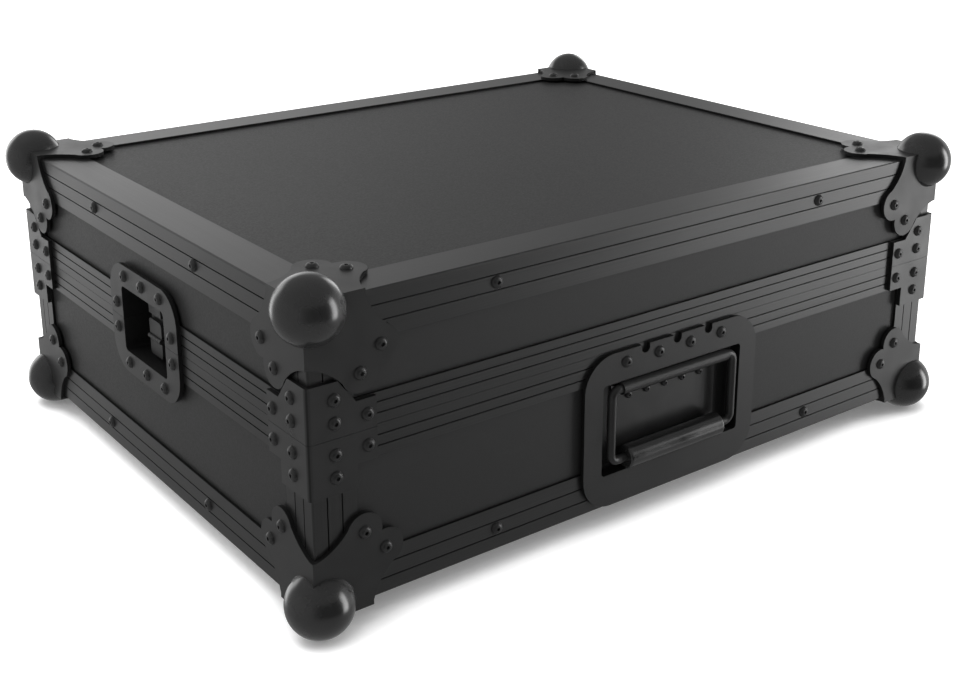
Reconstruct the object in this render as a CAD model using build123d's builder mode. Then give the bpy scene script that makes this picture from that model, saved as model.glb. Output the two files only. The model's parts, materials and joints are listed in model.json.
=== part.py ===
from build123d import *
import os

os.makedirs("parts", exist_ok=True)

# Flight case for one tabletop player. +X runs along the long side, -Y is the handle face and
# the latches sit on the two short faces. The origin is on the floor under the middle of the case.

# Heights of the two halves, over the edge profiles
base_height = 101.0
lid_height = 75.0
seam_gap = 0.2

# Plywood panels and the aluminium edge profiles that hold them
panel_thickness = 9.0
panel_clearance = 0.2
flange_thickness = 1.8
flange_width = 26.9
lip_thickness = 1.5
lip_length = 12.0
arris_radius = 1.0
mitre_gap = 0.1
line_width = 0.8
line_depth = 0.6
edge_line_pitch = 8.95
cut_allowance = 1.0

# Tongue rail round the base and groove rail round the lid
rail_flange = 18.0
rail_line_pitch = 6.25
rail_web = 2.5
rail_lip = 12.0
tongue_width = 3.0
tongue_height = 5.0
tongue_inset = 5.2
tongue_clearance = 0.4

# Ball corners: a pressed ball with three lobed leaves
ball_radius = 19.2
ball_inset = 5.0
ball_wall = 1.5
plate_thickness = 2.6
leaf_reach = 34.0
lobe_near = 29.5
lobe_far = 42.5
lobe_radius = 11.0
neck_rise = 21.5
neck_run = 49.5
neck_hollow = 2.4

# Corner braces that wrap the arris at the seam
brace_height = 31.4
brace_width = 26.5
brace_top_width = 16.0
wing_reach = 39.0
wing_height = 17.6
brace_rivet_inset = 13.5
wing_rivet_inset = 33.3
brace_rivet_near = 8.85
brace_rivet_far = 21.7

# Blind rivets
rivet_head_radius = 3.8
rivet_head_height = 1.9
rivet_shank_radius = 2.0
rivet_hole_clearance = 0.15
rivet_tail = 0.4
rivet_eye_radius = 1.1
rivet_eye_depth = 1.2
rivet_eye_share = 0.35
rivet_shoulder_run = 0.4
rivet_shoulder_share = 0.8
strap_rivet_head_radius = 2.3
edge_rivet_inset = 13.3
edge_rivet_spread_long = 131.0
edge_rivet_spread_short = 71.5

# Foam lining and the player that it holds
player_length = 414.0
player_depth = 320.0
player_height = 118.0
foam_clearance = 1.0
foam_side_wall = 29.7
foam_end_wall = 22.7
foam_bed_thickness = 18.0
foam_bed_gap = 0.5

# Handle dish, strap, bail and grip
handle_offset = 3.8
handle_plate_length = 144.0
handle_plate_height = 99.0
handle_plate_drop = 0.5
handle_plate_radius = 22.0
handle_opening_length = 115.5
handle_opening_height = 59.0
handle_opening_drop = 19.3
handle_opening_radius = 2.5
handle_dish_depth = 7.0
sheet_thickness = 1.2
dish_fold_radius = 2.0
pocket_clearance = 0.3
handle_rivet_pitch = 26.4
handle_rivet_drop = 7.5
notch_width = 6.5
notch_depth = 5.5
notch_offset = 1.9
bail_proud = 2.8
bail_radius = 2.8
bail_width = 107.4
bail_corner_radius = 5.0
bail_clearance = 0.05
grip_radius = 7.4
grip_length = 79.6
grip_end_radius = 1.5
grip_edge_clearance = 1.0
strap_thickness = 1.0
strap_length = 88.0
strap_leaf_drop = 43.0
strap_rivet_pitch = 15.0
strap_rivet_drop = 10.4
strap_top_clearance = 0.5

# Latch dishes, split at the seam, one on each short face
latch_plate_length = 96.0
latch_plate_height = 72.0
latch_plate_radius = 20.0
latch_opening_length = 61.0
latch_opening_height = 43.0
latch_opening_radius = 3.0
latch_dish_depth = 19.0
latch_row_spread = 25.6
latch_row_height = 28.7
latch_column_spread = 39.3
latch_column_height = 8.25

# Butterfly latch: spindle with an eccentric, hook, two folding wings and the keeper on the lid
spindle_drop = 6.15
spindle_radius = 3.5
spindle_clearance = 0.05
spindle_end_gap = 0.2
eccentric_radius = 4.0
hook_travel = 4.5
hook_slot_clearance = 0.7
hook_slot_side = 0.4
hook_plate = 2.0
hook_half_width = 9.5
hook_web = 2.6
hook_face_depth = 7.4
hook_head_height = 9.5
hook_head_face = 5.2
nose_length = 3.1
nose_height = 2.7
keeper_gap = 0.3
keeper_plate = 1.3
keeper_lip = 2.0
keeper_lip_height = 7.5
keeper_half_width = 8.5
guide_plate = 1.4
guide_boss_radius = 6.0
guide_cheek = 1.5
guide_side_gap = 0.3
guide_drop = 11.0
boss_clearance = 0.5
pin_depth = 4.9
pin_radius = 1.0
pin_clearance = 0.05
knuckle_radius = 1.6
wing_thickness = 1.75
wing_width = 17.0
wing_length = 11.7
wing_root = 1.8
wing_corner_radius = 2.5
wing_clearance = 1.5
wing_face_gap = 0.05
lug_width = 4.2
knuckle_gap = 0.2

# Levels and places that follow from the sizes above
eccentricity = hook_travel / 2
floor_gap = ball_radius - ball_inset
z_bottom = floor_gap
z_seam = z_bottom + base_height
z_lid = z_seam + seam_gap
z_top = z_seam + lid_height
panel_back = flange_thickness + panel_thickness
core_width = panel_back + lip_thickness
case_length = player_length + 2 * (foam_clearance + foam_side_wall + core_width)
case_depth = player_depth + 2 * (foam_clearance + foam_end_wall + core_width)
half_length = case_length / 2
half_depth = case_depth / 2
panel_end = core_width + panel_clearance
groove_head = tongue_height + tongue_clearance + rail_web
rivet_hole_radius = rivet_shank_radius + rivet_hole_clearance
low = (Align.MIN, Align.MIN)
middle_plane = Plane.XY.offset((z_bottom + z_top) / 2)

front_face = Plane(origin=(0, -half_depth, 0), x_dir=(1, 0, 0), z_dir=(0, -1, 0))
back_face = Plane(origin=(0, half_depth, 0), x_dir=(-1, 0, 0), z_dir=(0, 1, 0))
left_face = Plane(origin=(-half_length, 0, 0), x_dir=(0, -1, 0), z_dir=(-1, 0, 0))
right_face = Plane(origin=(half_length, 0, 0), x_dir=(0, 1, 0), z_dir=(1, 0, 0))
top_face = Plane.XY.offset(z_top)
bottom_face = Plane(origin=(0, 0, z_bottom), x_dir=(1, 0, 0), z_dir=(0, 0, -1))
faces = {
    "front": (front_face, half_length),
    "back": (back_face, half_length),
    "left": (left_face, half_depth),
    "right": (right_face, half_depth),
}

handle_face = Plane(origin=(handle_offset, -half_depth, 0), x_dir=(1, 0, 0), z_dir=(0, -1, 0))
handle_plate_top = z_seam - handle_plate_drop
handle_plate_middle = handle_plate_top - handle_plate_height / 2
strap_radius = bail_radius + bail_clearance + strap_thickness
opening_top = handle_plate_top - handle_opening_drop
opening_bottom = opening_top - handle_opening_height
opening_middle = (opening_top + opening_bottom) / 2
bail_top = opening_top - strap_top_clearance - strap_radius
bail_bottom = opening_bottom + grip_edge_clearance + grip_radius
strap_rivet_height = bail_top - strap_rivet_drop

spindle_height = z_seam - spindle_drop
wing_plane = Plane(origin=(pin_depth - half_length, 0, spindle_height), x_dir=(-1, 0, 0), z_dir=(0, 1, 0))
side_plane = Plane(origin=(-half_length, 0, spindle_height), x_dir=(-1, 0, 0), z_dir=(0, 1, 0))
slot_half_height = eccentric_radius + hook_slot_clearance
hook_back = hook_face_depth + hook_plate
hook_foot = eccentricity - slot_half_height - hook_web
corner_across = wing_width / 2 - wing_corner_radius
corner_along = wing_length - wing_corner_radius
wing_sweep = (corner_across ** 2 + corner_along ** 2) ** 0.5 + wing_corner_radius
hook_head_foot = wing_sweep + wing_clearance
hook_top = hook_head_foot + hook_head_height
nose_foot = hook_top - nose_height
lip_top = nose_foot - hook_travel - keeper_gap
lip_face = hook_back + hook_travel + keeper_gap
keeper_foot = lip_top - keeper_lip_height
boss_front = hook_back + hook_travel + boss_clearance


# Rivet places on each face: distance along the face and height
def leaf_spots(half_width, levels):
    spots = []
    for side in (-1, 1):
        for level, inward in levels:
            spots.append((side * (half_width - lobe_far), level + inward * lobe_near))
            spots.append((side * (half_width - lobe_near), level + inward * lobe_far))
    return spots


def brace_spots(half_width):
    spots = []
    for side in (-1, 1):
        for way in (-1, 1):
            spots.append((side * (half_width - brace_rivet_inset), z_seam + way * brace_rivet_near))
            spots.append((side * (half_width - brace_rivet_inset), z_seam + way * brace_rivet_far))
            spots.append((side * (half_width - wing_rivet_inset), z_seam + way * brace_rivet_near))
    return spots


def edge_spots(name):
    spread = edge_rivet_spread_long if name in ("front", "back") else edge_rivet_spread_short
    levels = (z_bottom + edge_rivet_inset, z_top - edge_rivet_inset)
    return [(side * spread, level) for side in (-1, 1) for level in levels]


def latch_spots():
    rows = [(x, z_seam + way * latch_row_height) for x in (-latch_row_spread, 0, latch_row_spread)
            for way in (-1, 1)]
    columns = [(side * latch_column_spread, z_seam + way * latch_column_height)
               for side in (-1, 1) for way in (-1, 1)]
    return rows + columns


handle_rivet_height = handle_plate_top - handle_rivet_drop
handle_spots = [(handle_offset + (i - 1.5) * handle_rivet_pitch, handle_rivet_height) for i in range(4)]
strap_spots = [(handle_offset + (i - 2) * strap_rivet_pitch, strap_rivet_height) for i in range(5)]

plate_spots = {}
for name, (plane, half_width) in faces.items():
    plate_spots[name] = leaf_spots(half_width, ((z_bottom, 1), (z_top, -1))) + brace_spots(half_width)
    if name in ("left", "right"):
        plate_spots[name] += latch_spots()
plate_spots["front"] += handle_spots


def on_face(plane, spots, offset=0.0):
    return [plane.location * Location((x, y, offset)) for x, y in spots]


def drill(plane, spots, radius=rivet_hole_radius):
    with Locations(*on_face(plane, spots)):
        Cylinder(radius=radius, height=4 * core_width, mode=Mode.SUBTRACT)


def drill_face(name):
    plane = faces[name][0]
    drill(plane, plate_spots[name] + edge_spots(name))


def cut_pocket(plane, middle, length, height, depth):
    with BuildSketch(plane.offset(plate_thickness)) as pocket:
        with Locations((0, middle)):
            Rectangle(length, height)
    extrude(pocket.sketch, amount=-(plate_thickness + depth), mode=Mode.SUBTRACT)


def cut_handle_pocket():
    margin = 2 * (sheet_thickness + pocket_clearance)
    cut_pocket(handle_face, opening_middle, handle_opening_length + margin,
               handle_opening_height + margin, core_width + cut_allowance)


def cut_latch_pocket(name):
    margin = 2 * (sheet_thickness + pocket_clearance)
    cut_pocket(faces[name][0], z_seam, latch_opening_length + margin, latch_opening_height + margin,
               latch_dish_depth + sheet_thickness + pocket_clearance)


# Cross-sections, drawn inward from the two outside faces that meet at the arris
def cut_lines(places, along_x):
    for place in places:
        with Locations((place, 0) if along_x else (0, place)):
            size = (line_width, line_depth) if along_x else (line_depth, line_width)
            align = (Align.CENTER, Align.MIN) if along_x else (Align.MIN, Align.CENTER)
            Rectangle(*size, align=align, mode=Mode.SUBTRACT)


def edge_profile():
    Rectangle(flange_width, flange_thickness, align=low)
    Rectangle(flange_thickness, flange_width, align=low)
    Rectangle(core_width, core_width, align=low)
    with Locations((panel_back, 0)):
        Rectangle(lip_thickness, core_width + lip_length, align=low)
    with Locations((0, panel_back)):
        Rectangle(core_width + lip_length, lip_thickness, align=low)
    with Locations((flange_thickness, flange_thickness)):
        Rectangle(panel_thickness, panel_thickness, align=low, mode=Mode.SUBTRACT)
    cut_lines((edge_line_pitch, 2 * edge_line_pitch), False)


def tongue_profile():
    Rectangle(flange_thickness, rail_flange, align=low)
    Rectangle(core_width, rail_web, align=low)
    with Locations((panel_back, 0)):
        Rectangle(lip_thickness, rail_lip, align=low)
    with Locations((tongue_inset, 0)):
        Rectangle(tongue_width, tongue_height, align=(Align.MIN, Align.MAX))
    cut_lines((rail_line_pitch, 2 * rail_line_pitch), False)


def groove_profile():
    Rectangle(flange_thickness, rail_flange - seam_gap, align=low)
    Rectangle(core_width, groove_head, align=low)
    with Locations((panel_back, 0)):
        Rectangle(lip_thickness, groove_head + rail_lip - rail_web, align=low)
    with Locations((tongue_inset - tongue_clearance, 0)):
        Rectangle(tongue_width + 2 * tongue_clearance, tongue_height + tongue_clearance,
                  align=low, mode=Mode.SUBTRACT)
    cut_lines((rail_line_pitch - seam_gap, 2 * rail_line_pitch - seam_gap), False)


inward = {"front": (0, 1, 0), "back": (0, -1, 0), "left": (1, 0, 0), "right": (-1, 0, 0)}
outer_point = {"front": (0, -half_depth), "back": (0, half_depth), "left": (-half_length, 0),
               "right": (half_length, 0)}
run_length = {"front": case_length, "back": case_length, "left": case_depth, "right": case_depth}


def run_plane(name, level, upward):
    way = Vector(*inward[name])
    along = way.cross(Vector(0, 0, 1 if upward else -1))
    return Plane(origin=(*outer_point[name], level), x_dir=way, z_dir=along)


def mitre(name):
    # Keep what lies between the two upright planes through the case's diagonal corners
    way = Vector(*inward[name])
    along = way.cross(Vector(0, 0, 1))
    for side in (-1, 1):
        corner = Vector(*outer_point[name], 0) + along * (side * (run_length[name] - mitre_gap) / 2)
        split(bisect_by=Plane(origin=corner, z_dir=along * side + way), keep=Keep.BOTTOM)


def write(piece, label):
    piece.part.label = label
    export_step(piece.part, "parts/" + label + ".step")


# Plywood panels
def wall_panel(name, bottom, top):
    plane, half_width = faces[name]
    with BuildPart() as panel:
        with BuildSketch(plane.offset(-flange_thickness)):
            with Locations((0, (bottom + top) / 2)):
                Rectangle(2 * (half_width - panel_end), top - bottom)
        extrude(amount=-panel_thickness)
        drill_face(name)
        if name in ("left", "right"):
            cut_latch_pocket(name)
        if name == "front" and top < z_seam:
            cut_handle_pocket()
    return panel


base_panel_bottom = z_bottom + panel_end
base_panel_top = z_seam - rail_web - panel_clearance
lid_panel_bottom = z_lid + groove_head + panel_clearance
lid_panel_top = z_top - panel_end
for name in faces:
    write(wall_panel(name, base_panel_bottom, base_panel_top), "base_" + name + "_panel")
    write(wall_panel(name, lid_panel_bottom, lid_panel_top), "lid_" + name + "_panel")

flat_spots = leaf_spots(half_length, ((-half_depth, 1), (half_depth, -1)))
for label, plane in (("base_floor_panel", bottom_face), ("lid_top_panel", top_face)):
    with BuildPart() as flat_panel:
        with BuildSketch(plane.offset(-flange_thickness)):
            Rectangle(2 * (half_length - panel_end), 2 * (half_depth - panel_end))
        extrude(amount=-panel_thickness)
        drill(plane, flat_spots)
    write(flat_panel, label)


# Edge profiles round the floor and round the top
def edge_run(name, level, upward):
    with BuildPart() as run:
        with BuildSketch(run_plane(name, level, upward)) as section:
            edge_profile()
            fillet(section.vertices().sort_by_distance((0, 0))[0], arris_radius)
        extrude(amount=run_length[name] / 2, both=True)
        mitre(name)
        drill(faces[name][0], edge_spots(name))
        if name == "front" and upward:
            cut_handle_pocket()
    return run


for name in faces:
    write(edge_run(name, z_bottom, True), "base_" + name + "_edge")
    write(edge_run(name, z_top, False), "lid_" + name + "_edge")


# Tongue rails on the base, groove rails on the lid, the side ones let into for the latch dishes
def rail_run(name, level, upward, profile):
    with BuildPart() as run:
        with BuildSketch(run_plane(name, level, upward)):
            profile()
        extrude(amount=run_length[name] / 2, both=True)
        mitre(name)
        drill_face(name)
        if name in ("left", "right"):
            cut_latch_pocket(name)
    return run.part


def gather(pieces, label):
    with BuildPart() as group:
        add(pieces)
    write(group, label)


gather([rail_run(name, z_seam, False, tongue_profile) for name in faces], "base_tongue_rails")
gather([rail_run(name, z_lid, True, groove_profile) for name in faces], "lid_groove_rails")


# Upright corner profiles between the edge profiles and the rails
def corner_post(side_x, side_y, bottom, top):
    way = side_x * side_y
    corner = Plane(origin=(side_x * half_length, side_y * half_depth, bottom), x_dir=(-side_x, 0, 0),
                   z_dir=(0, 0, way))
    with BuildPart() as post:
        with BuildSketch(corner) as section:
            edge_profile()
            cut_lines((edge_line_pitch, 2 * edge_line_pitch), True)
            fillet(section.vertices().sort_by_distance((0, 0, 0))[0], arris_radius)
        extrude(amount=way * (top - bottom))
        for name in ("front", "back", "left", "right"):
            drill(faces[name][0], brace_spots(faces[name][1]))
    return post.part


corners = [(side_x, side_y) for side_x in (-1, 1) for side_y in (-1, 1)]
base_post_top = z_seam - rail_flange
lid_post_bottom = z_seam + rail_flange
gather([corner_post(*sides, z_bottom + flange_width, base_post_top) for sides in corners],
       "base_corner_posts")
gather([corner_post(*sides, lid_post_bottom, z_top - flange_width) for sides in corners],
       "lid_corner_posts")

# Ball corner of the front left foot, the other seven are its mirror images
foot = (-half_length, -half_depth, z_bottom)
corner_faces = (
    Plane(origin=foot, x_dir=(1, 0, 0), z_dir=(0, -1, 0)),
    Plane(origin=foot, x_dir=(0, 0, 1), z_dir=(-1, 0, 0)),
    Plane(origin=foot, x_dir=(0, 1, 0), z_dir=(0, 0, -1)),
)
lobe_spots = [(lobe_far, lobe_near), (lobe_near, lobe_far)]


def leaf_outline():
    edge = -plate_thickness
    neck_start = Vector(leaf_reach, 0)
    neck_end = Vector(neck_run, neck_rise)
    chord = neck_end - neck_start
    neck_middle = (neck_start + neck_end) / 2 + Vector(-chord.Y, chord.X).normalized() * neck_hollow
    diagonal = Plane(origin=(0, 0, 0), z_dir=(1, -1, 0))
    with BuildLine() as outline:
        Polyline((edge, edge), (leaf_reach, edge), neck_start)
        neck = ThreePointArc(neck_start, neck_middle, neck_end)
        mirror(neck, about=diagonal)
        Polyline(neck_end, (lobe_far, lobe_near), (lobe_near, lobe_far), (neck_rise, neck_run))
        Polyline((0, leaf_reach), (edge, leaf_reach), (edge, edge))
    make_face(outline.edges())
    with Locations(*lobe_spots):
        Circle(lobe_radius)


with BuildPart() as ball_corner:
    for plane in corner_faces:
        with BuildSketch(plane):
            leaf_outline()
        extrude(amount=plate_thickness)
    ball_middle = (foot[0] + ball_inset, foot[1] + ball_inset, foot[2] + ball_inset)
    with Locations(ball_middle):
        Sphere(ball_radius)
        Sphere(ball_radius - ball_wall, mode=Mode.SUBTRACT)
    with Locations(foot):
        Box(case_length, case_depth, case_length, align=(Align.MIN, Align.MIN, Align.MIN), mode=Mode.SUBTRACT)
    for plane in corner_faces:
        drill(plane, lobe_spots)

with BuildPart() as right_ball_corner:
    mirror(ball_corner.part, about=Plane.YZ)

places = {"front_left": ball_corner.part, "front_right": right_ball_corner.part}
for label, piece in list(places.items()):
    with BuildPart() as back_corner:
        mirror(piece, about=Plane.XZ)
    places[label.replace("front", "back")] = back_corner.part
for label, piece in places.items():
    with BuildPart() as base_corner:
        add(piece)
    write(base_corner, "base_" + label + "_ball_corner")
    with BuildPart() as lid_corner:
        mirror(piece, about=middle_plane)
    write(lid_corner, "lid_" + label + "_ball_corner")


# Corner braces, split at the seam into a base half and a lid half
def brace_half(way):
    level = z_seam if way < 0 else z_lid
    height = brace_height - (level - z_seam)
    wing = wing_height - (level - z_seam)
    corner = (-half_length, -half_depth, level)
    front = Plane(origin=corner, x_dir=(1, 0, 0), z_dir=(0, -1, 0))
    side = Plane(origin=corner, x_dir=(0, 1, 0), z_dir=(1, 0, 0))
    shoulder = brace_top_width if way > 0 else brace_width
    edge = -plate_thickness
    outline = [(edge, 0), (wing_reach, 0), (wing_reach, way * wing), (brace_width, way * wing),
               (shoulder, way * height), (edge, way * height)]
    with BuildPart() as brace:
        for plane, amount in ((front, plate_thickness), (side, -plate_thickness)):
            with BuildSketch(plane):
                with BuildLine():
                    Polyline(*outline, close=True)
                make_face()
            extrude(amount=amount)
        fillet(brace.edges().filter_by(Axis.Z).sort_by_distance(
            (corner[0] + edge, corner[1] + edge, level + way * height / 2))[0], plate_thickness)
        drill(front_face, brace_spots(half_length))
        drill(left_face, brace_spots(half_depth))
    return brace.part


def four_corners(piece):
    with BuildPart() as pair:
        add(piece)
        mirror(piece, about=Plane.YZ)
    with BuildPart() as group:
        add(pair.part)
        mirror(pair.part, about=Plane.XZ)
    return group


write(four_corners(brace_half(-1)), "base_corner_braces")
write(four_corners(brace_half(1)), "lid_corner_braces")


# Blind rivets: a domed head with its eye, and the shank through plate, profile and panel
def rivet(head_radius, head_level, reach=panel_back + rivet_tail):
    eye = min(rivet_eye_radius, rivet_eye_share * head_radius)
    shoulder = (eye + head_radius) / 2
    with BuildPart() as piece:
        with BuildSketch(Plane.XZ):
            with BuildLine():
                Polyline((0, rivet_head_height - rivet_eye_depth), (eye, rivet_head_height - rivet_eye_depth),
                         (eye, rivet_head_height))
                ThreePointArc((eye, rivet_head_height),
                              (shoulder + rivet_shoulder_run, rivet_shoulder_share * rivet_head_height),
                              (head_radius, 0))
                Polyline((head_radius, 0), (rivet_shank_radius, 0), (rivet_shank_radius, -reach - head_level),
                         (0, -reach - head_level), (0, rivet_head_height - rivet_eye_depth))
            make_face()
        revolve(axis=Axis.Z)
    return piece.part


plate_rivet = rivet(rivet_head_radius, plate_thickness)
edge_rivet = rivet(rivet_head_radius, 0)
strap_floor = strap_thickness - handle_dish_depth
strap_rivet = rivet(strap_rivet_head_radius, strap_floor, reach=handle_dish_depth + sheet_thickness)


def in_half(spots, lid_side):
    return [spot for spot in spots if (spot[1] > z_seam) == lid_side]


def place_rivets(lid_side):
    flat_face = top_face if lid_side else bottom_face
    with BuildPart() as group:
        with Locations(*on_face(flat_face, flat_spots, plate_thickness)):
            add(plate_rivet)
        for name, (plane, half_width) in faces.items():
            with Locations(*on_face(plane, in_half(plate_spots[name], lid_side), plate_thickness)):
                add(plate_rivet)
            with Locations(*on_face(plane, in_half(edge_spots(name), lid_side))):
                add(edge_rivet)
        if not lid_side:
            with Locations(*on_face(front_face, strap_spots, strap_floor)):
                add(strap_rivet)
    return group


write(place_rivets(False), "base_rivets")
write(place_rivets(True), "lid_rivets")

# Foam lining round the player
foam_length = case_length - 2 * core_width
foam_depth = case_depth - 2 * core_width
foam_wall_bottom = z_bottom + core_width
bay_length = foam_length - 2 * foam_side_wall
bay_depth = foam_depth - 2 * foam_end_wall
bed_bottom = z_bottom + panel_back
player_top = bed_bottom + foam_bed_thickness + player_height
pad_bottom = player_top + foam_clearance
pad_top = z_top - core_width
with BuildPart() as base_foam_bed:
    with BuildSketch(Plane.XY.offset(bed_bottom)):
        Rectangle(bay_length - 2 * foam_bed_gap, bay_depth - 2 * foam_bed_gap)
    extrude(amount=foam_bed_thickness)
write(base_foam_bed, "base_foam_bed")

with BuildPart() as lid_foam_pad:
    with BuildSketch(Plane.XY.offset(pad_bottom)):
        Rectangle(foam_length, foam_depth)
    extrude(amount=pad_top - pad_bottom)
write(lid_foam_pad, "lid_foam_pad")


def foam_walls(bottom, top):
    with BuildPart() as walls:
        with BuildSketch(Plane.XY.offset(bottom)):
            Rectangle(foam_length, foam_depth)
            Rectangle(bay_length, bay_depth, mode=Mode.SUBTRACT)
        extrude(amount=top - bottom)
        for name in ("left", "right"):
            margin = 2 * (sheet_thickness + foam_clearance)
            cut_pocket(faces[name][0], z_seam, latch_opening_length + margin,
                       latch_opening_height + margin, latch_dish_depth + sheet_thickness + foam_clearance)
    return walls


write(foam_walls(foam_wall_bottom, z_seam - foam_clearance), "base_foam_walls")
write(foam_walls(z_lid + foam_clearance, pad_bottom), "lid_foam_walls")


# Pressed dishes: a flat rim on the profiles and a tray let into the panel
def rounded(length, height, radius, middle):
    with Locations((0, middle)):
        RectangleRounded(length, height, radius)


def pressed_dish(plane, rim_middle, rim, middle, opening, depth):
    wall = 2 * sheet_thickness
    with BuildPart() as dish:
        with BuildSketch(plane):
            rounded(*rim, rim_middle)
        extrude(amount=plate_thickness)
        with BuildSketch(plane):
            rounded(opening[0] + wall, opening[1] + wall, opening[2] + sheet_thickness, middle)
        extrude(amount=-(depth + sheet_thickness))
        with BuildSketch(plane.offset(plate_thickness)):
            rounded(*opening, middle)
        extrude(amount=-(plate_thickness + depth), mode=Mode.SUBTRACT)
        floor_middle = plane.offset(-depth).origin + Vector(0, 0, middle)
        tray_floor = dish.faces(Select.LAST).sort_by_distance(floor_middle)[0]
        fillet(tray_floor.edges(), dish_fold_radius)
    return dish.part


handle_rim = (handle_plate_length, handle_plate_height, handle_plate_radius)
handle_opening = (handle_opening_length, handle_opening_height, handle_opening_radius)
with BuildPart() as handle_dish:
    add(pressed_dish(handle_face, handle_plate_middle, handle_rim, opening_middle, handle_opening,
                     handle_dish_depth))
    drill(front_face, handle_spots + strap_spots)
    with BuildSketch(handle_face):
        for i in range(3):
            with Locations((notch_offset + (i - 1) * handle_rivet_pitch, handle_plate_top)):
                Rectangle(notch_width, notch_depth - notch_width / 2, align=(Align.CENTER, Align.MAX))
            with Locations((notch_offset + (i - 1) * handle_rivet_pitch,
                            handle_plate_top - notch_depth + notch_width / 2)):
                Circle(notch_width / 2)
    extrude(amount=plate_thickness, mode=Mode.SUBTRACT)
write(handle_dish, "handle_dish")

# Strap rolled over the top bar of the bail and riveted to the dish
bail_line = -half_depth - bail_proud
strap_plane = Plane(origin=(handle_offset, bail_line, bail_top), x_dir=(0, 1, 0), z_dir=(1, 0, 0))
strap_back = bail_proud + handle_dish_depth
with BuildPart() as handle_strap:
    with BuildSketch(strap_plane):
        Circle(strap_radius)
        with Locations((0, -strap_thickness)):
            Rectangle(strap_back, 2 * strap_thickness, align=low)
        with Locations((strap_back, strap_thickness)):
            Rectangle(strap_thickness, strap_thickness + strap_leaf_drop, align=(Align.MAX, Align.MAX))
        Circle(bail_radius + bail_clearance, mode=Mode.SUBTRACT)
    extrude(amount=strap_length / 2, both=True)
    drill(front_face, strap_spots)
write(handle_strap, "handle_strap")

# Bail of round wire in one closed loop, and the moulded grip on its lower bar
bail_plane = handle_face.offset(bail_proud)
bail_side = bail_width / 2 - bail_radius
with BuildPart() as handle_bail:
    with BuildLine(bail_plane):
        FilletPolyline((0, bail_top), (bail_side, bail_top), (bail_side, bail_bottom), (0, bail_bottom),
                       radius=bail_corner_radius)
    with BuildSketch(Plane(origin=(handle_offset, bail_line, bail_top), z_dir=(1, 0, 0))):
        Circle(bail_radius)
    sweep()
    mirror(about=Plane.YZ.offset(handle_offset))
write(handle_bail, "handle_bail")

grip_plane = Plane(origin=(handle_offset, bail_line, bail_bottom), z_dir=(1, 0, 0))
with BuildPart() as handle_grip:
    with BuildSketch(grip_plane):
        Circle(grip_radius)
    extrude(amount=grip_length / 2, both=True)
    fillet(handle_grip.edges(), grip_end_radius)
    with Locations(grip_plane):
        Cylinder(radius=bail_radius + bail_clearance, height=2 * grip_length, mode=Mode.SUBTRACT)
write(handle_grip, "handle_grip")


# Latch on the left face, the right one is its mirror image
def write_pair(piece, label):
    with BuildPart() as left_piece:
        add(piece)
    write(left_piece, "latch_left_" + label)
    with BuildPart() as right_piece:
        mirror(piece, about=Plane.YZ)
    write(right_piece, "latch_right_" + label)


latch_rim = (latch_plate_length, latch_plate_height, latch_plate_radius)
latch_opening = (latch_opening_length, latch_opening_height, latch_opening_radius)
with BuildPart() as latch_dish:
    add(pressed_dish(left_face, z_seam, latch_rim, z_seam, latch_opening, latch_dish_depth))
    drill(left_face, latch_spots())
with BuildPart() as lower_dish:
    add(latch_dish.part)
    split(bisect_by=Plane.XY.offset(z_seam), keep=Keep.BOTTOM)
write_pair(lower_dish.part, "base_dish")
with BuildPart() as upper_dish:
    add(latch_dish.part)
    split(bisect_by=Plane.XY.offset(z_lid), keep=Keep.TOP)
write_pair(upper_dish.part, "lid_dish")


def side_block(front, back, bottom, top, half_width, mode=Mode.ADD):
    # A block in the latch recess: depths behind the face, heights from the spindle
    with BuildSketch(side_plane) as block:
        with Locations((-back, bottom)):
            Rectangle(back - front, top - bottom, align=low)
    extrude(block.sketch, amount=half_width, both=True, mode=mode)


with BuildPart() as guide:
    cheek_inside = hook_half_width + guide_side_gap
    cheek_outside = cheek_inside + guide_cheek
    guide_top = spindle_drop - guide_side_gap
    plate_front = latch_dish_depth - guide_plate
    side_block(hook_face_depth, latch_dish_depth, -guide_drop, guide_top, cheek_outside)
    side_block(0, plate_front, -2 * guide_drop, 2 * guide_drop, cheek_inside, mode=Mode.SUBTRACT)
    with BuildSketch(left_face.offset(-latch_dish_depth)):
        with Locations((0, spindle_height)):
            Circle(guide_boss_radius)
    extrude(amount=latch_dish_depth - boss_front)
    with BuildSketch(left_face.offset(-latch_dish_depth)):
        with Locations((0, spindle_height)):
            Circle(spindle_radius + spindle_clearance)
    extrude(amount=latch_dish_depth, mode=Mode.SUBTRACT)
write_pair(guide.part, "guide")

spindle_back = latch_dish_depth - spindle_end_gap
eccentric_back = boss_front - spindle_end_gap
lug_back = pin_depth + wing_face_gap + wing_thickness + 2 * spindle_end_gap
with BuildPart() as spindle:
    with BuildSketch(left_face.offset(-spindle_back)):
        with Locations((0, spindle_height)):
            Circle(spindle_radius)
    extrude(amount=spindle_back - eccentric_back)
    with BuildSketch(left_face.offset(-eccentric_back)):
        with Locations((0, spindle_height + eccentricity)):
            Circle(eccentric_radius)
    extrude(amount=eccentric_back - lug_back)
    with BuildSketch(wing_plane):
        Circle(knuckle_radius)
        Rectangle(lug_back - pin_depth, 2 * knuckle_radius, align=(Align.MAX, Align.CENTER))
        Circle(pin_radius + pin_clearance, mode=Mode.SUBTRACT)
    extrude(amount=lug_width / 2, both=True)
write_pair(spindle.part, "spindle")

with BuildPart() as pin:
    with BuildSketch(wing_plane):
        Circle(pin_radius)
    extrude(amount=wing_width / 2, both=True)
write_pair(pin.part, "wing_pin")

knuckle_start = lug_width / 2 + knuckle_gap
knuckle_length = (wing_width / 2 - knuckle_start - knuckle_gap) / 2


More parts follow.
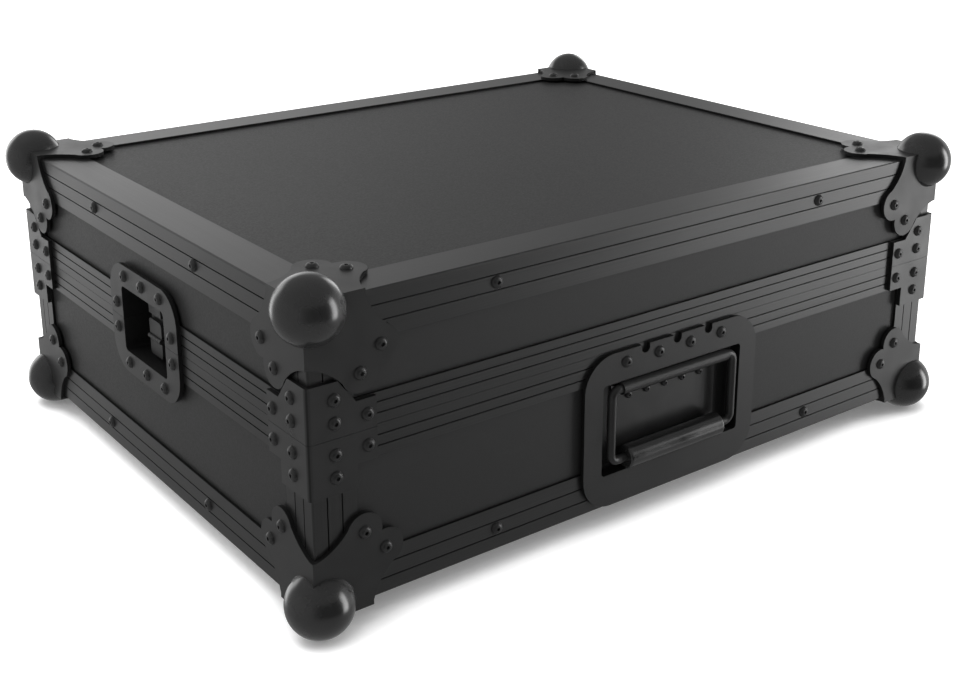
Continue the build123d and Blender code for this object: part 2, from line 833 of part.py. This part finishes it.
def wing(start):
    # Upper wing: a flat leaf with one pair of knuckles that start this far from the middle
    with BuildPart() as leaf:
        with BuildSketch(wing_plane):
            with Locations((-wing_face_gap, wing_root)):
                Rectangle(wing_thickness, wing_length - wing_root, align=(Align.MAX, Align.MIN))
        extrude(amount=wing_width / 2, both=True)
        fillet(leaf.edges().filter_by(Axis.X).group_by(Axis.Z)[-1], wing_corner_radius)
        for side in (-1, 1):
            first = side * start
            with BuildSketch(wing_plane.offset(first)):
                Circle(knuckle_radius)
                with Locations((-wing_face_gap, 0)):
                    Rectangle(knuckle_radius - wing_face_gap, wing_root + knuckle_gap,
                              align=(Align.MAX, Align.MIN))
                Circle(pin_radius + pin_clearance, mode=Mode.SUBTRACT)
            extrude(amount=side * knuckle_length)
    return leaf.part


write_pair(wing(knuckle_start), "upper_wing")
spindle_level = Plane.XY.offset(spindle_height)
with BuildPart() as lower_wing:
    mirror(wing(knuckle_start + knuckle_length + knuckle_gap), about=spindle_level)
write_pair(lower_wing.part, "lower_wing")

with BuildPart() as hook:
    side_block(hook_face_depth, hook_back, hook_foot, hook_top, hook_half_width)
    side_block(hook_head_face, hook_back, hook_head_foot, hook_top, keeper_half_width)
    side_block(hook_back, hook_back + nose_length, nose_foot, hook_top, keeper_half_width)
    slot_width = 2 * (eccentric_radius + eccentricity + hook_slot_side)
    with BuildSketch(left_face):
        with Locations((0, spindle_height + eccentricity)):
            Rectangle(slot_width, 2 * slot_half_height)
    extrude(amount=-latch_dish_depth, mode=Mode.SUBTRACT)
write_pair(hook.part, "hook")

with BuildPart() as keeper:
    keeper_front = latch_dish_depth - keeper_plate
    side_block(keeper_front, latch_dish_depth, keeper_foot - keeper_lip, hook_top, keeper_half_width)
    side_block(lip_face, keeper_front, keeper_foot, keeper_foot + keeper_lip, keeper_half_width)
    side_block(lip_face, lip_face + keeper_lip, keeper_foot, lip_top, keeper_half_width)
with BuildPart() as keepers:
    add(keeper.part)
    mirror(keeper.part, about=Plane.YZ)
write(keepers, "lid_latch_keepers")
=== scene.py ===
import bpy
import bmesh
import json
import math
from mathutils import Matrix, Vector


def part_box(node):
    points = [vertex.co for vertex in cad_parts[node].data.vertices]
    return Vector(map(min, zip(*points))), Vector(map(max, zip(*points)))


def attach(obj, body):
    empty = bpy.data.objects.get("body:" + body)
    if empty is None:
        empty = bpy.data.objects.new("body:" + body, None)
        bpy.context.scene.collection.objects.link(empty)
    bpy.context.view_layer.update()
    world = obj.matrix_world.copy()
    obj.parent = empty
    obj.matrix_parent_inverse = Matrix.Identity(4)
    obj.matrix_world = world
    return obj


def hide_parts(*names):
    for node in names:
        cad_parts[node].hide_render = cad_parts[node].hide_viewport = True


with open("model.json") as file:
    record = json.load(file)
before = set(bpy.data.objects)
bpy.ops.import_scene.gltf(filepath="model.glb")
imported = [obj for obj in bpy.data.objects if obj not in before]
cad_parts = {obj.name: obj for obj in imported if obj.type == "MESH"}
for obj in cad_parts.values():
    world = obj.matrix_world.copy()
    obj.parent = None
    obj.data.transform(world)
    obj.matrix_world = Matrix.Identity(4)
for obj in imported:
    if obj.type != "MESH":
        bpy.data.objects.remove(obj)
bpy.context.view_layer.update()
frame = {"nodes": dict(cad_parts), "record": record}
nodes = frame["nodes"]
print("frame loaded:", len(nodes), "nodes")

# The case's own faces, in metres, that the finishes are laid out from
case = {
    "halfLength": 0.25,
    "halfDepth": 0.196,
    "bottom": 0.0142,
    "top": 0.1902,
}


# The range that most of a noise texture's values lie in
noiseRange = (0.3, 0.7)


# Material building blocks
def newMaterial(name):
    mat = bpy.data.materials.new(name)
    mat.use_nodes = True
    tree = mat.node_tree
    tree.nodes.clear()
    out = tree.nodes.new("ShaderNodeOutputMaterial")
    shader = tree.nodes.new("ShaderNodeBsdfPrincipled")
    tree.links.new(shader.outputs[0], out.inputs[0])
    coords = tree.nodes.new("ShaderNodeTexCoord")
    return mat, tree, shader, coords.outputs["Object"]


def mathNode(tree, operation, first, second=None, third=None):
    node = tree.nodes.new("ShaderNodeMath")
    node.operation = operation
    for socket, value in zip(node.inputs, (first, second, third)):
        if value is None:
            continue
        if isinstance(value, (int, float)):
            socket.default_value = value
        else:
            tree.links.new(value, socket)
    return node.outputs[0]


def scaled(tree, vector, size):
    node = tree.nodes.new("ShaderNodeMapping")
    node.inputs["Scale"].default_value = size
    tree.links.new(vector, node.inputs["Vector"])
    return node.outputs[0]


def noiseNode(tree, vector, scale, detail=3.0, rough=0.5):
    node = tree.nodes.new("ShaderNodeTexNoise")
    node.inputs["Scale"].default_value = scale
    node.inputs["Detail"].default_value = detail
    node.inputs["Roughness"].default_value = rough
    tree.links.new(vector, node.inputs["Vector"])
    return node.outputs[0]


def ramp(tree, value, low, high, lowTo, highTo):
    node = tree.nodes.new("ShaderNodeMapRange")
    node.inputs["From Min"].default_value = low
    node.inputs["From Max"].default_value = high
    node.inputs["To Min"].default_value = lowTo
    node.inputs["To Max"].default_value = highTo
    tree.links.new(value, node.inputs["Value"])
    return node.outputs[0]


def spread(tree, noise, middle, share):
    return ramp(tree, noise, *noiseRange, middle * (1 - share), middle * (1 + share))


def around(tree, noise, middle, step):
    return ramp(tree, noise, *noiseRange, middle - step, middle + step)


def grey(tree, value):
    node = tree.nodes.new("ShaderNodeCombineColor")
    for socket in node.inputs:
        tree.links.new(value, socket)
    return node.outputs[0]


def bump(tree, shader, height, distance, strength=1.0):
    node = tree.nodes.new("ShaderNodeBump")
    node.inputs["Strength"].default_value = strength
    node.inputs["Distance"].default_value = distance
    tree.links.new(height, node.inputs["Height"])
    tree.links.new(node.outputs[0], shader.inputs["Normal"])


def axes(tree, coords):
    node = tree.nodes.new("ShaderNodeSeparateXYZ")
    tree.links.new(coords, node.inputs[0])
    return node.outputs


def beyond(tree, distance, half):
    return mathNode(tree, "SUBTRACT", mathNode(tree, "ABSOLUTE", distance), half)


def proud(tree, coords):
    # How far a point stands out of the case's outside faces, in metres
    x, y, z = axes(tree, coords)
    middle = (case["bottom"] + case["top"]) / 2
    outX = beyond(tree, x, case["halfLength"])
    outY = beyond(tree, y, case["halfDepth"])
    outZ = beyond(tree, mathNode(tree, "SUBTRACT", z, middle), case["top"] - middle)
    return mathNode(tree, "MAXIMUM", mathNode(tree, "MAXIMUM", outX, outY), outZ)


# Powder-coated and painted steel: orange-peel skin, faint mottling, a painted shade on the sheet's edges
def coatedSteel(name, look):
    mat, tree, shader, coords = newMaterial(name)
    mottle = noiseNode(tree, coords, look["mottleScale"], look["mottleDetail"])
    tone = spread(tree, mottle, look["tone"], look["toneShare"])
    if look.get("edgeDepth"):
        # Below the sheet's outer face lies its edge, painted darker and made duller than the face: a painted
        # shade for the shadow along the edge
        outward = proud(tree, coords)
        edgeFrom = look["edgeDepth"] - look["edgeBlend"]
        face = ramp(tree, outward, edgeFrom, look["edgeDepth"], look["edgeShadeTone"], 1.0)
        tone = mathNode(tree, "MULTIPLY", tone, face)
        dull = ramp(tree, face, look["edgeShadeTone"], 1.0, look["edgeRough"], look["rough"])
        rough = mathNode(tree, "ADD", dull, around(tree, mottle, 0.0, look["roughStep"]))
    else:
        rough = around(tree, mottle, look["rough"], look["roughStep"])
    shader.inputs["Coat Weight"].default_value = look["coat"]
    if look.get("ballFrom"):
        # The domed ball is glossier than the flat leaves round it
        outward = proud(tree, coords)
        ball = ramp(tree, outward, look["ballFrom"], look["ballFrom"] + look["ballBlend"], 0.0, 1.0)
        rough = mathNode(tree, "ADD", rough, ramp(tree, ball, 0.0, 1.0, look["leafDull"], 0.0))
        coat = ramp(tree, ball, 0.0, 1.0, look["leafCoat"], look["coat"])
        specular = ramp(tree, ball, 0.0, 1.0, look["leafSpecular"], look["specular"])
        tree.links.new(coat, shader.inputs["Coat Weight"])
        tree.links.new(specular, shader.inputs["Specular IOR Level"])
    else:
        shader.inputs["Specular IOR Level"].default_value = look["specular"]
    tree.links.new(grey(tree, tone), shader.inputs["Base Color"])
    tree.links.new(rough, shader.inputs["Roughness"])
    shader.inputs["Metallic"].default_value = look["metal"]
    shader.inputs["Coat Roughness"].default_value = look["coatRough"]
    peel = noiseNode(tree, coords, look["peelScale"], look["peelDetail"])
    bump(tree, shader, peel, look["peelDepth"])
    return mat


steelLook = {"specular": 0.5, "coat": 0.0, "coatRough": 0.3, "mottleDetail": 4.0, "toneShare": 0.1,
             "roughStep": 0.04, "peelDetail": 2.0}
# Painted shade on the plate edges below the outer face: a darker tone and duller gloss
edgeShadeLook = {"edgeDepth": 0.0023, "edgeBlend": 0.0002, "edgeShadeTone": 0.35, "edgeRough": 0.6}
ballLook = dict(steelLook, **edgeShadeLook, tone=0.021, rough=0.26, metal=0.0, mottleScale=60.0, peelScale=700.0,
                peelDepth=0.00001, ballFrom=0.0028, ballBlend=0.0004, leafDull=0.1, leafCoat=0.0,
                leafSpecular=0.4)
ballLook.update(coat=0.5, coatRough=0.05)
leafLook = dict(steelLook, **edgeShadeLook, tone=0.026, rough=0.31, metal=0.15, mottleScale=45.0, peelScale=1100.0,
                peelDepth=0.00003)
dishLook = dict(leafLook, tone=0.022, rough=0.38, metal=0.1, specular=0.4)
rivetLook = dict(steelLook, tone=0.035, rough=0.35, metal=0.4, mottleScale=300.0, peelScale=1500.0,
                 peelDepth=0.00002)
handleLook = dict(steelLook, tone=0.024, rough=0.34, metal=0.2, mottleScale=90.0, peelScale=1200.0,
                  peelDepth=0.00003)
latchLook = dict(handleLook, tone=0.03, rough=0.4, metal=0.3)

ballSteel = coatedSteel("ballCornerGloss", ballLook)
leafSteel = coatedSteel("cornerPlateSatin", leafLook)
dishSteel = coatedSteel("dishSatin", dishLook)
rivetSteel = coatedSteel("rivetSatin", rivetLook)
handleSteel = coatedSteel("handleWireSatin", handleLook)
latchSteel = coatedSteel("latchSatin", latchLook)


# Black anodised extrusion: die lines along the run, a slight change of tone between runs, painted shade in
# the grooves
def anodised(name, look, upright):
    mat, tree, shader, coords = newMaterial(name)
    stretch, fine = look["stretch"], look["fine"]

    def dieLines(size):
        return noiseNode(tree, scaled(tree, coords, size), 1.0, look["lineDetail"], look["lineRough"])

    if upright:
        lines = dieLines((fine, fine, stretch))
    else:
        x, y, z = axes(tree, coords)
        overX = beyond(tree, x, case["halfLength"])
        overY = beyond(tree, y, case["halfDepth"])
        side = mathNode(tree, "GREATER_THAN", overX, overY)
        alongX = dieLines((stretch, fine, fine))
        alongY = dieLines((fine, stretch, fine))
        mix = tree.nodes.new("ShaderNodeMix")
        tree.links.new(side, mix.inputs["Factor"])
        tree.links.new(alongX, mix.inputs["A"])
        tree.links.new(alongY, mix.inputs["B"])
        lines = mix.outputs["Result"]
    cloud = noiseNode(tree, coords, look["cloudScale"], look["cloudDetail"])
    tone = spread(tree, lines, look["tone"], look["lineShare"])
    tone = mathNode(tree, "MULTIPLY", tone, spread(tree, cloud, 1.0, look["cloudShare"]))
    # Painted shade: grooves and faces set back from the outer faces are made darker and duller
    grooveShade = ramp(tree, proud(tree, coords), *look["grooveSpan"], look["grooveShadeTone"], 1.0)
    tone = mathNode(tree, "MULTIPLY", tone, grooveShade)
    tree.links.new(grey(tree, tone), shader.inputs["Base Color"])
    rough = around(tree, lines, look["rough"], look["roughStep"])
    rough = mathNode(tree, "ADD", rough, ramp(tree, grooveShade, look["grooveShadeTone"], 1.0, look["grooveDull"], 0.0))
    tree.links.new(rough, shader.inputs["Roughness"])
    shader.inputs["Metallic"].default_value = look["metal"]
    shader.inputs["Specular IOR Level"].default_value = look["specular"]
    bump(tree, shader, lines, look["lineDepth"])
    return mat


profileLook = {"tone": 0.066, "rough": 0.33, "roughStep": 0.03, "metal": 0.85, "specular": 0.5,
               "stretch": 4.0, "fine": 2200.0, "lineDetail": 4.0, "lineRough": 0.6, "lineShare": 0.07,
               "lineDepth": 0.000012, "cloudScale": 9.0, "cloudDetail": 3.0, "cloudShare": 0.05,
               "grooveSpan": (-0.00045, -0.0003), "grooveShadeTone": 0.4, "grooveDull": 0.3}
profileMetal = anodised("profileAnodised", profileLook, False)
postMetal = anodised("postAnodised", profileLook, True)


# Phenolic-faced plywood: fine pebble of the pressed film, clouding, a few faint rubs
def filmFaced(name, look):
    mat, tree, shader, coords = newMaterial(name)
    cloud = noiseNode(tree, coords, look["cloudScale"], look["cloudDetail"], look["cloudRough"])
    rubs = noiseNode(tree, scaled(tree, coords, look["rubScale"]), 1.0, look["rubDetail"])
    tone = spread(tree, cloud, look["tone"], look["cloudShare"])
    tone = mathNode(tree, "MULTIPLY", tone, ramp(tree, rubs, *look["rubSpan"], 1.0, look["rubTone"]))
    tree.links.new(grey(tree, tone), shader.inputs["Base Color"])
    pebble = noiseNode(tree, coords, look["pebbleScale"], look["pebbleDetail"])
    rough = around(tree, pebble, look["rough"], look["roughStep"])
    tree.links.new(rough, shader.inputs["Roughness"])
    shader.inputs["Specular IOR Level"].default_value = look["specular"]
    bump(tree, shader, pebble, look["pebbleDepth"])
    return mat


panelLook = {"tone": 0.022, "rough": 0.48, "roughStep": 0.05, "specular": 0.36,
             "cloudScale": 6.0, "cloudDetail": 5.0, "cloudRough": 0.55, "cloudShare": 0.06,
             "rubScale": (26.0, 260.0, 90.0), "rubDetail": 2.0, "rubSpan": (0.62, 0.8), "rubTone": 1.12,
             "pebbleScale": 900.0, "pebbleDetail": 2.0, "pebbleDepth": 0.00004}
panelFilm = filmFaced("panelFilm", panelLook)


# Moulded grip: smooth skin with a very fine texture and slight wear
def moulded(name, look):
    mat, tree, shader, coords = newMaterial(name)
    skin = tree.nodes.new("ShaderNodeTexVoronoi")
    skin.inputs["Scale"].default_value = look["cellScale"]
    tree.links.new(coords, skin.inputs["Vector"])
    wear = noiseNode(tree, coords, look["wearScale"], look["wearDetail"])
    tone = spread(tree, wear, look["tone"], look["toneShare"])
    tree.links.new(grey(tree, tone), shader.inputs["Base Color"])
    rough = around(tree, wear, look["rough"], look["roughStep"])
    tree.links.new(rough, shader.inputs["Roughness"])
    shader.inputs["Specular IOR Level"].default_value = look["specular"]
    bump(tree, shader, skin.outputs["Distance"], look["cellDepth"])
    return mat


gripLook = {"tone": 0.02, "toneShare": 0.15, "rough": 0.2, "roughStep": 0.06, "specular": 0.9,
            "cellScale": 900.0, "cellDepth": 0.000008, "wearScale": 70.0, "wearDetail": 4.0}
gripSkin = moulded("gripMoulded", gripLook)


# Closed-cell foam: round cells of two sizes, a painted shade in their hollows, and a soft, light-scattering
# tone
def cellFoam(name, look):
    mat, tree, shader, coords = newMaterial(name)
    cells = tree.nodes.new("ShaderNodeTexVoronoi")
    cells.inputs["Scale"].default_value = look["cellScale"]
    tree.links.new(coords, cells.inputs["Vector"])
    fine = noiseNode(tree, coords, look["cellScale"] * look["fineTimes"], look["fineDetail"])
    fine = mathNode(tree, "MULTIPLY", fine, look["fineShare"])
    both = mathNode(tree, "ADD", cells.outputs["Distance"], fine)
    cloud = noiseNode(tree, coords, look["cloudScale"], look["cloudDetail"])
    darkest, lightest = (look["tone"] * share for share in look["cellShadeTones"])
    # Painted shade: each cell is darker where the bump is low, in its hollow
    tone = ramp(tree, both, *look["cellSpan"], darkest, lightest)
    tone = mathNode(tree, "MULTIPLY", tone, spread(tree, cloud, 1.0, look["cloudShare"]))
    tree.links.new(grey(tree, tone), shader.inputs["Base Color"])
    shader.inputs["Roughness"].default_value = look["rough"]
    shader.inputs["Specular IOR Level"].default_value = look["specular"]
    shader.inputs["Sheen Weight"].default_value = look["sheen"]
    bump(tree, shader, both, look["cellDepth"])
    return mat


foamLook = {"tone": 0.05, "rough": 0.95, "specular": 0.15, "sheen": 0.15,
            "cellScale": 480.0, "cellDepth": 0.0004, "cellSpan": (0.2, 1.0), "cellShadeTones": (0.55, 1.25),
            "fineTimes": 2.2, "fineDetail": 3.0, "fineShare": 0.6,
            "cloudScale": 14.0, "cloudDetail": 3.0, "cloudShare": 0.1}
foamCells = cellFoam("foamCells", foamLook)
print("materials made")


# Each CAD node's finish
finishes = {
    "rivets": rivetSteel, "ball_corners": ballSteel, "corner_plates": leafSteel, "profiles": profileMetal,
    "panels": panelFilm, "foam": foamCells, "grip": gripSkin, "handle_steel": handleSteel,
    "dishes": dishSteel, "latch_steel": latchSteel,
}
slotOf = {part["node"]: part["material_slot"] for part in frame["record"]["subparts"]}


def paint(piece, mat):
    if not piece.material_slots:
        piece.data.materials.append(mat)
    for place in piece.material_slots:
        place.material = mat


for name, piece in nodes.items():
    paint(piece, postMetal if "posts" in name else finishes[slotOf[name]])


# Soft foam pieces in the place of the plain solids
foamForm = {"voxel": 0.005, "inset": 0.0006, "smoothTurns": 6, "smoothFactor": 0.5, "weld": 0.00001}


def softened(nodeName, body):
    source = nodes[nodeName]
    mesh = source.data.copy()
    piece = bpy.data.objects.new(nodeName + "_soft", mesh)
    bpy.context.scene.collection.objects.link(piece)
    work = bmesh.new()
    work.from_mesh(mesh)
    bmesh.ops.remove_doubles(work, verts=work.verts, dist=foamForm["weld"])
    bmesh.ops.recalc_face_normals(work, faces=work.faces)
    work.to_mesh(mesh)
    work.free()
    remesh = piece.modifiers.new("remesh", "REMESH")
    remesh.mode = "VOXEL"
    remesh.voxel_size = foamForm["voxel"]
    smooth = piece.modifiers.new("smooth", "SMOOTH")
    smooth.iterations = foamForm["smoothTurns"]
    smooth.factor = foamForm["smoothFactor"]
    shape = bpy.data.meshes.new_from_object(piece.evaluated_get(bpy.context.evaluated_depsgraph_get()))
    piece.modifiers.clear()
    piece.data = shape
    work = bmesh.new()
    work.from_mesh(shape)
    work.normal_update()
    low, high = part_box(nodeName)
    for vert in work.verts:
        vert.co -= vert.normal * foamForm["inset"]
        for axis in range(3):
            vert.co[axis] = min(max(vert.co[axis], low[axis]), high[axis])
    work.to_mesh(shape)
    work.free()
    for face in shape.polygons:
        face.use_smooth = True
    shape.materials.clear()
    shape.materials.append(foamCells)
    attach(piece, body)
    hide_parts(nodeName)


for foamNode, foamBody in (("base_foam_bed", "base"), ("base_foam_walls", "base"),
                           ("lid_foam_pad", "lid"), ("lid_foam_walls", "lid")):
    softened(foamNode, foamBody)
print("foam made")


# Stage: pale floor, soft lamps, camera where the photograph was taken from
camera = {
    "place": (-0.5657, -0.7655, 0.4313),
    "turn": (72.736, 0.044, -36.986),
    "lens": 52.62,
    "sensor": 36.0,
    "shift": (-0.0079, -0.1213),
    "clip": (0.02, 50.0),
}
camData = bpy.data.cameras.new("camera")
camData.lens = camera["lens"]
camData.sensor_width = camera["sensor"]
camData.shift_x, camData.shift_y = camera["shift"]
camData.clip_start, camData.clip_end = camera["clip"]
cam = bpy.data.objects.new("camera", camData)
cam.location = camera["place"]
cam.rotation_euler = [math.radians(angle) for angle in camera["turn"]]
bpy.context.scene.collection.objects.link(cam)
bpy.context.scene.camera = cam

floor = {"size": 12.0, "tone": 0.9, "reach": 0.035, "closed": 0.42, "open": 0.74,
         "liftNear": 0.14, "liftFar": 1.0, "samples": 8}
work = bmesh.new()
bmesh.ops.create_grid(work, x_segments=1, y_segments=1, size=floor["size"] / 2)
floorMesh = bpy.data.meshes.new("floor")
work.to_mesh(floorMesh)
work.free()
ground = bpy.data.objects.new("floor", floorMesh)
bpy.context.scene.collection.objects.link(ground)
floorMat, tree, shader, coords = newMaterial("floorPale")
tree.nodes.remove(shader)
matt = tree.nodes.new("ShaderNodeBsdfDiffuse")
matt.inputs["Color"].default_value = (floor["tone"],) * 3 + (1.0,)
# The floor burns out to white away from the case and keeps the lamps' shadow under and beside it; near the
# case its white lift is dimmed by ambient occlusion, a painted contact shadow
near = tree.nodes.new("ShaderNodeAmbientOcclusion")
near.samples = floor["samples"]
near.inputs["Distance"].default_value = floor["reach"]
lift = tree.nodes.new("ShaderNodeEmission")
ray = tree.nodes.new("ShaderNodeLightPath")
shade = near.outputs["AO"]
clear = ramp(tree, shade, floor["closed"], floor["open"], floor["liftNear"], floor["liftFar"])
tree.links.new(mathNode(tree, "MULTIPLY", ray.outputs["Is Camera Ray"], clear), lift.inputs["Strength"])
seen = tree.nodes.new("ShaderNodeAddShader")
tree.links.new(matt.outputs[0], seen.inputs[0])
tree.links.new(lift.outputs[0], seen.inputs[1])
# Glossy rays pass the floor, so the case mirrors the studio cards below the horizon as well
through = tree.nodes.new("ShaderNodeBsdfTransparent")
blend = tree.nodes.new("ShaderNodeMixShader")
tree.links.new(ray.outputs["Is Glossy Ray"], blend.inputs[0])
tree.links.new(seen.outputs[0], blend.inputs[1])
tree.links.new(through.outputs[0], blend.inputs[2])
out = [node for node in tree.nodes if node.type == "OUTPUT_MATERIAL"][0]
tree.links.new(blend.outputs[0], out.inputs[0])
floorMesh.materials.append(floorMat)

# Studio cards that the case mirrors: azimuth in degrees from the front, towards the right, and brightness
sky = {
    "fill": 0.55,
    "glow": 0.8,
    "cards": ((-180, 1.80), (-166, 2.50), (-157, 1.00), (-149, 0.46), (-135, 0.38), (-60, 0.38),
              (-34, 0.10), (-24, 0.04), (43, 0.04), (49, 4.8), (53, 6.8), (62, 7.4), (70, 0.60),
              (108, 0.90), (120, 3.20), (128, 2.40), (132, 0.60), (137, 0.36), (144, 0.65), (151, 1.10),
              (160, 1.70), (180, 1.80)),
    "peak": 8.0,
    "above": 0.30,
    "below": 0.37,
    "upper": (0.30, 0.50),
    "lower": (-0.43, -0.27),
}
world = bpy.data.worlds.new("studio")
bpy.context.scene.world = world
world.use_nodes = True
tree = world.node_tree
tree.nodes.clear()
out = tree.nodes.new("ShaderNodeOutputWorld")
back = tree.nodes.new("ShaderNodeBackground")
tree.links.new(back.outputs[0], out.inputs[0])
ray = tree.nodes.new("ShaderNodeLightPath")
view = tree.nodes.new("ShaderNodeTexCoord")
x, y, z = axes(tree, view.outputs["Generated"])
azimuth = mathNode(tree, "ARCTAN2", x, mathNode(tree, "MULTIPLY", y, -1.0))
cards = tree.nodes.new("ShaderNodeValToRGB")
tree.links.new(ramp(tree, azimuth, -math.pi, math.pi, 0.0, 1.0), cards.inputs[0])
stops = cards.color_ramp.elements
for index, (angle, level) in enumerate(sky["cards"]):
    place = (angle + 180.0) / 360.0
    stop = stops[index] if index < 2 else stops.new(place)
    stop.position = place
    stop.color = (level / sky["peak"],) * 3 + (1.0,)
ring = mathNode(tree, "MULTIPLY", cards.outputs["Color"], sky["peak"])
overhead = ramp(tree, z, *sky["upper"], 0.0, 1.0)
underfoot = ramp(tree, z, *sky["lower"], 1.0, 0.0)
beside = mathNode(tree, "SUBTRACT", 1.0, mathNode(tree, "ADD", overhead, underfoot))
level = mathNode(tree, "MULTIPLY", ring, beside)
level = mathNode(tree, "ADD", level, mathNode(tree, "MULTIPLY", overhead, sky["above"]))
level = mathNode(tree, "ADD", level, mathNode(tree, "MULTIPLY", underfoot, sky["below"]))
# Glossy rays see the cards, the camera sees plain white, and all other rays see an even fill
seenDirect, seenMirrored = ray.outputs["Is Camera Ray"], ray.outputs["Is Glossy Ray"]
mirrored = mathNode(tree, "MULTIPLY", level, seenMirrored)
others = mathNode(tree, "SUBTRACT", 1.0, mathNode(tree, "MAXIMUM", seenDirect, seenMirrored))
plain = mathNode(tree, "MULTIPLY", others, sky["fill"])
lit = mathNode(tree, "MULTIPLY", mathNode(tree, "ADD", mirrored, plain), sky["glow"])
strength = mathNode(tree, "ADD", lit, seenDirect)
back.inputs["Color"].default_value = (1.0, 1.0, 1.0, 1.0)
tree.links.new(strength, back.inputs["Strength"])

lamps = {
    "keyTop": {"place": (-0.6, 1.0, 1.9), "size": (1.6, 1.2), "power": 26.0},
    "sideRight": {"place": (1.9, -0.9, 0.7), "size": (0.5, 1.6), "power": 14.0},
    "fillLeft": {"place": (-1.8, 0.4, 1.0), "size": (1.2, 1.2), "power": 9.0},
}
target = Vector((0.0, 0.0, 0.1))
for name, lamp in lamps.items():
    light = bpy.data.lights.new(name, "AREA")
    light.shape = "RECTANGLE"
    light.size, light.size_y = lamp["size"]
    light.energy = lamp["power"]
    holder = bpy.data.objects.new(name, light)
    holder.visible_glossy = False
    holder.location = lamp["place"]
    holder.rotation_euler = (target - Vector(lamp["place"])).to_track_quat("-Z", "Y").to_euler()
    bpy.context.scene.collection.objects.link(holder)
bpy.context.scene.view_settings.view_transform = "Standard"
print("stage set")
